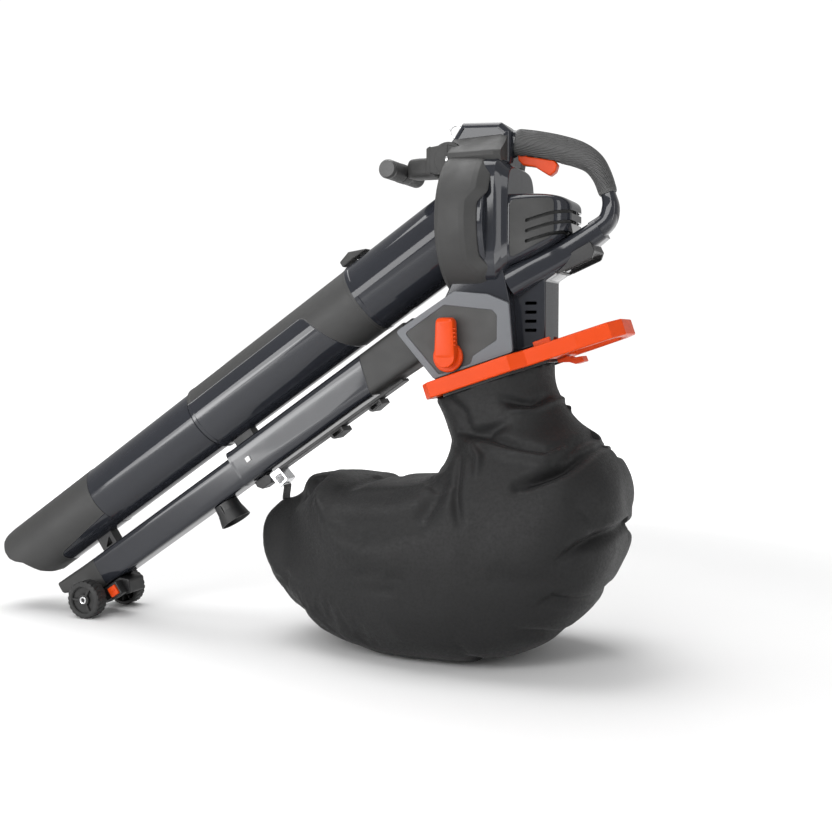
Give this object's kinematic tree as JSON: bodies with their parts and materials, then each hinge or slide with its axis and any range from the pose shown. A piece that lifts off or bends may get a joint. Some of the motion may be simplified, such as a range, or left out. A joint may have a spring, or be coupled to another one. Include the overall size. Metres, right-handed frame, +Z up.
{
  "type": "leaf blower vacuum",
  "caption": "Handheld battery leaf blower and vacuum with suction and blow tubes, small wheels, mode knob and a hanging collection bag.",
  "frame": {"origin": "bottom centre of the bounding box, on the ground under the bag and wheels", "axes": "+X from the nozzles to the rear handle, +Y to the machine's right, +Z up"},
  "size_m": [1.1454, 0.352, 0.8252],
  "materials": {
    "bag_fabric": "woven cloth",
    "black_plastic": "satin black",
    "bright_steel": "bright",
    "charcoal_matte": "fine matte texture",
    "circuit_board": "green board",
    "grey_panel": "satin grey",
    "grip_rubber": "soft grip",
    "motor_winding": "copper wire",
    "orange_plastic": "satin orange",
    "slate_gloss": "glossy dark slate",
    "white_plastic": "white"
  },
  "bodies": {
    "machine": {"accessory_socket": "black_plastic", "bag_hook": "bright_steel", "bag_rail": "black_plastic", "bag_strap": "bag_fabric", "battery_dock": "black_plastic", "blow_nozzle": "charcoal_matte", "blow_tube_lower": "slate_gloss", "blow_tube_upper": "slate_gloss", "bumper_left": "charcoal_matte", "bumper_right": "charcoal_matte", "controller_board": "circuit_board", "front_bearing": "bright_steel", "front_handle_pin": "bright_steel", "handle_grip": "grip_rubber", "housing_left": "slate_gloss", "housing_right": "slate_gloss", "motor_can": "bright_steel", "motor_cover": "charcoal_matte", "motor_mount": "bright_steel", "rail_clip_front": "grey_panel", "rail_clip_rear": "grey_panel", "rear_bearing": "bright_steel", "side_panel_left": "grey_panel", "side_panel_right": "grey_panel", "stator_winding": "motor_winding", "strap_eye": "bright_steel", "suction_nozzle": "charcoal_matte", "suction_tube_lower": "slate_gloss", "suction_tube_upper": "slate_gloss", "trigger_pin": "bright_steel", "trigger_spring": "bright_steel", "trigger_switch": "black_plastic", "tube_clip_lower": "black_plastic", "tube_clip_middle": "black_plastic", "tube_lock_spring": "bright_steel", "wheel_axle": "bright_steel", "wheel_bracket": "black_plastic"},
    "wheel_left": {"wheel_left": "black_plastic", "wheel_cap_left": "bright_steel"},
    "wheel_right": {"wheel_right": "black_plastic", "wheel_cap_right": "bright_steel"},
    "rotor": {"motor_shaft": "bright_steel", "rotor_core": "bright_steel", "impeller": "black_plastic", "impeller_nut": "bright_steel"},
    "trigger": {"trigger": "orange_plastic"},
    "front_handle": {"front_handle": "slate_gloss", "front_grip_left": "grip_rubber", "front_grip_right": "grip_rubber"},
    "mode_selector": {"mode_knob": "orange_plastic", "diverter_shaft": "bright_steel", "diverter_flap": "black_plastic"},
    "strap_ring": {"strap_ring": "bright_steel"},
    "tube_lock_button": {"tube_lock_button": "charcoal_matte"},
    "blow_snap_button": {"blow_snap_button": "white_plastic"},
    "wheel_release_button": {"wheel_release_button": "orange_plastic"},
    "bag": {"bag_frame": "orange_plastic", "bag_neck_ring": "black_plastic", "collection_bag": "bag_fabric"},
    "bag_latch": {"bag_latch": "orange_plastic"}
  },
  "joints": [
    {"name": "wheel_left_spin", "type": "hinge", "parent": "machine", "child": "wheel_left", "pos_m": [-0.37529, 0, 0.033], "axis": [0, 1, 0], "continuous": true},
    {"name": "wheel_right_spin", "type": "hinge", "parent": "machine", "child": "wheel_right", "pos_m": [-0.37529, 0, 0.033], "axis": [0, 1, 0], "continuous": true},
    {"name": "rotor_spin", "type": "hinge", "parent": "machine", "child": "rotor", "pos_m": [0.37971, 0, 0.668], "axis": [1, 0, 0], "continuous": true},
    {"name": "trigger_pull", "type": "hinge", "parent": "machine", "child": "trigger", "pos_m": [0.40171, 0, 0.7775], "axis": [0, -1, 0], "range_deg": [0, 10], "stiffness_Nm_per_rad": 0.6, "springref_deg": -8.59, "deforming": ["trigger_spring"]},
    {"name": "mode_select", "type": "hinge", "parent": "machine", "child": "mode_selector", "pos_m": [0.31071, 0, 0.466], "axis": [0, 1, 0], "range_deg": [0, 75]},
    {"name": "front_handle_tilt", "type": "hinge", "parent": "machine", "child": "front_handle", "pos_m": [0.29671, 0, 0.766], "axis": [0, 1, 0], "range_deg": [-25, 30]},
    {"name": "strap_ring_swing", "type": "hinge", "parent": "machine", "child": "strap_ring", "pos_m": [0.30231, 0, 0.809], "axis": [0.5547, 0, 0.8321], "range_deg": [-60, 60]},
    {"name": "tube_lock_press", "type": "slide", "parent": "machine", "child": "tube_lock_button", "axis": [0.5621, 0, -0.8271], "range_m": [0, 0.0024], "stiffness_N_per_m": 400, "springref_m": -0.002, "deforming": ["tube_lock_spring"]},
    {"name": "blow_snap_press", "type": "slide", "parent": "machine", "child": "blow_snap_button", "axis": [0, 1, 0], "range_m": [0, 0.0015], "stiffness_N_per_m": 300, "springref_m": -0.001},
    {"name": "wheel_release_press", "type": "slide", "parent": "machine", "child": "wheel_release_button", "axis": [0, 1, 0], "range_m": [0, 0.002], "stiffness_N_per_m": 400, "springref_m": -0.001},
    {"name": "bag_frame_slide", "type": "slide", "parent": "machine", "child": "bag", "axis": [0.9478, 0, 0.319], "range_m": [0, 0.012]},
    {"name": "bag_latch_pull", "type": "hinge", "parent": "bag", "child": "bag_latch", "pos_m": [0.46492, 0, 0.46024], "axis": [0, 1, 0], "range_deg": [0, 25], "stiffness_Nm_per_rad": 0.3, "springref_deg": -8.59}
  ]
}
